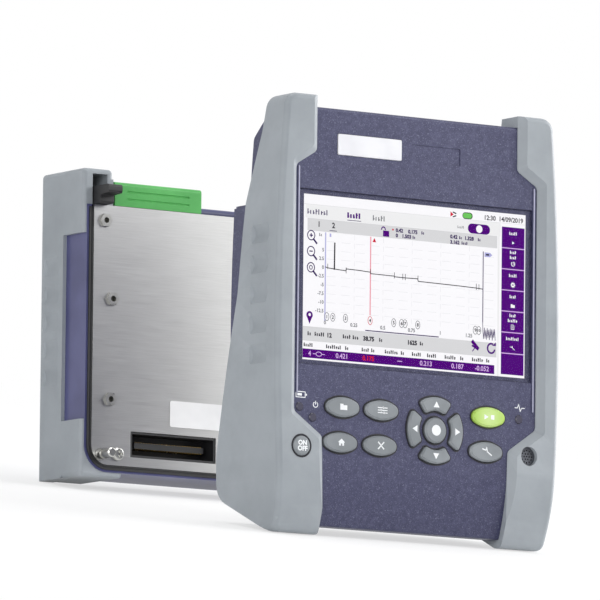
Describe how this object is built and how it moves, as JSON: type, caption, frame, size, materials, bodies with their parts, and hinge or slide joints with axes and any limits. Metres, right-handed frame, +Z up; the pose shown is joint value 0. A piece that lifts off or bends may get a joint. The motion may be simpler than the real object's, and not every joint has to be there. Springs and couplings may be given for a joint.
{
  "type": "optical time domain reflectometer",
  "caption": "Handheld fibre test instrument with a colour display and rubber bumpers, and its plug-in optical module with a docking plate, port cover and cooling fan.",
  "frame": {"origin": "centre of the bounding box on the floor", "axes": "+X to the instrument's right seen from its display, +Y from the display side towards the module, +Z up; the instrument leans back on its feet"},
  "size_m": [0.1382, 0.2058, 0.1738],
  "materials": {
    "body_plastic": "violet-grey moulded plastic with a fine metallic mottle",
    "bumper_rubber": "light bluish grey moulded rubber, satin",
    "key_rubber": "mid grey silicone rubber",
    "start_rubber": "yellow-green silicone rubber",
    "ring_plastic": "dark navy trim",
    "window_clear": "clear flat display window",
    "screen": "lit colour display",
    "bright_plate": "finely brushed bright steel",
    "white_plate": "white enamelled plate",
    "trim_bright": "polished trim",
    "lens": "clear light pipe",
    "diode": "cream resin",
    "board_green": "green solder mask",
    "dome_steel": "snap-dome steel",
    "brass": "machined brass",
    "screw_steel": "zinc-plated steel",
    "cell_wrap": "blue shrink sleeve",
    "black_plastic": "black moulded plastic",
    "black_rubber": "black rubber seal",
    "gilt": "gold-plated contacts",
    "label_white": "blank paper label",
    "cover_green": "green moulded plastic",
    "grille_steel": "perforated metal",
    "optic_blue": "blue connector plastic",
    "alloy_block": "milled aluminium",
    "fibre_yellow": "yellow coated fibre"
  },
  "bodies": {
    "mainframe": {"front_case": "body_plastic", "rear_case": "body_plastic", "bumper_right": "bumper_rubber", "bumper_left": "bumper_rubber", "display_window": "window_clear", "display_trims": "trim_bright", "lcd_panel": "screen", "name_plate": "white_plate", "status_lenses": "lens", "status_diodes": "diode", "key_rings": "ring_plastic", "key_board": "board_green", "key_domes": "dome_steel", "main_board": "board_green", "board_posts": "brass", "board_screws": "screw_steel", "battery_cells": "cell_wrap", "battery_cradle": "black_plastic", "speaker": "black_plastic", "sound_grille": "grille_steel", "docking_plug": "black_plastic", "dock_nuts": "brass"},
    "module": {"module_cover": "body_plastic", "module_bumper_right": "bumper_rubber", "module_bumper_left": "bumper_rubber", "mating_plate": "bright_plate", "standoffs": "screw_steel", "plate_screws": "screw_steel", "plate_seal": "black_rubber", "plate_label": "label_white", "docking_socket": "black_plastic", "socket_contacts": "gilt", "docking_hook_right": "black_plastic", "docking_hook_left": "black_plastic", "top_panel": "black_plastic", "hinge_pin": "screw_steel", "optical_port": "optic_blue", "fan_frame": "black_plastic", "module_board": "board_green", "laser_block": "alloy_block", "fibre_spool": "black_plastic", "fibre_coil": "fibre_yellow"},
    "port_cover": {"port_cover": "cover_green"},
    "fan_rotor": {"fan_rotor": "black_plastic"},
    "captive_screw_left": {"captive_screw_left": "screw_steel"},
    "captive_screw_right": {"captive_screw_right": "screw_steel"},
    "key_power": {"key_power": "key_rubber"},
    "key_enter": {"key_enter": "key_rubber"},
    "key_file": {"key_file": "key_rubber"},
    "key_setup": {"key_setup": "key_rubber"},
    "key_home": {"key_home": "key_rubber"},
    "key_cancel": {"key_cancel": "key_rubber"},
    "key_start": {"key_start": "start_rubber"},
    "key_results": {"key_results": "key_rubber"},
    "key_right": {"key_right": "key_rubber"},
    "key_up": {"key_up": "key_rubber"},
    "key_left": {"key_left": "key_rubber"},
    "key_down": {"key_down": "key_rubber"}
  },
  "joints": [
    {"name": "module_dock", "type": "slide", "parent": "mainframe", "child": "module", "axis": [0, -0.9812, 0.193], "range_m": [0, 0.12]},
    {"name": "key_power_press", "type": "slide", "parent": "mainframe", "child": "key_power", "axis": [0, 0.9812, -0.193], "range_m": [0, 0.001], "stiffness_N_per_m": 600, "springref_m": -0.0005},
    {"name": "key_enter_press", "type": "slide", "parent": "mainframe", "child": "key_enter", "axis": [0, 0.9812, -0.193], "range_m": [0, 0.001], "stiffness_N_per_m": 600, "springref_m": -0.0005},
    {"name": "key_file_press", "type": "slide", "parent": "mainframe", "child": "key_file", "axis": [0, 0.9812, -0.193], "range_m": [0, 0.001], "stiffness_N_per_m": 600, "springref_m": -0.0005},
    {"name": "key_setup_press", "type": "slide", "parent": "mainframe", "child": "key_setup", "axis": [0, 0.9812, -0.193], "range_m": [0, 0.001], "stiffness_N_per_m": 600, "springref_m": -0.0005},
    {"name": "key_home_press", "type": "slide", "parent": "mainframe", "child": "key_home", "axis": [0, 0.9812, -0.193], "range_m": [0, 0.001], "stiffness_N_per_m": 600, "springref_m": -0.0005},
    {"name": "key_cancel_press", "type": "slide", "parent": "mainframe", "child": "key_cancel", "axis": [0, 0.9812, -0.193], "range_m": [0, 0.001], "stiffness_N_per_m": 600, "springref_m": -0.0005},
    {"name": "key_start_press", "type": "slide", "parent": "mainframe", "child": "key_start", "axis": [0, 0.9812, -0.193], "range_m": [0, 0.001], "stiffness_N_per_m": 600, "springref_m": -0.0005},
    {"name": "key_results_press", "type": "slide", "parent": "mainframe", "child": "key_results", "axis": [0, 0.9812, -0.193], "range_m": [0, 0.001], "stiffness_N_per_m": 600, "springref_m": -0.0005},
    {"name": "key_right_press", "type": "slide", "parent": "mainframe", "child": "key_right", "axis": [0, 0.9812, -0.193], "range_m": [0, 0.001], "stiffness_N_per_m": 600, "springref_m": -0.0005},
    {"name": "key_up_press", "type": "slide", "parent": "mainframe", "child": "key_up", "axis": [0, 0.9812, -0.193], "range_m": [0, 0.001], "stiffness_N_per_m": 600, "springref_m": -0.0005},
    {"name": "key_left_press", "type": "slide", "parent": "mainframe", "child": "key_left", "axis": [0, 0.9812, -0.193], "range_m": [0, 0.001], "stiffness_N_per_m": 600, "springref_m": -0.0005},
    {"name": "key_down_press", "type": "slide", "parent": "mainframe", "child": "key_down", "axis": [0, 0.9812, -0.193], "range_m": [0, 0.001], "stiffness_N_per_m": 600, "springref_m": -0.0005},
    {"name": "port_cover_hinge", "type": "hinge", "parent": "module", "child": "port_cover", "pos_m": [-0.02735, 0.08282, 0.11568], "axis": [-1, 0, 0], "range_deg": [0, 90]},
    {"name": "fan_spin", "type": "hinge", "parent": "module", "child": "fan_rotor", "pos_m": [0.0191, 0.08321, 0.10572], "axis": [0, 0.193, 0.9812], "continuous": true},
    {"name": "captive_screw_left_turn", "type": "hinge", "parent": "module", "child": "captive_screw_left", "pos_m": [-0.0549, 0.04791, 0.01544], "axis": [0, -0.9812, 0.193], "continuous": true},
    {"name": "captive_screw_right_turn", "type": "hinge", "parent": "module", "child": "captive_screw_right", "pos_m": [0.0549, 0.04791, 0.01544], "axis": [0, -0.9812, 0.193], "continuous": true}
  ]
}
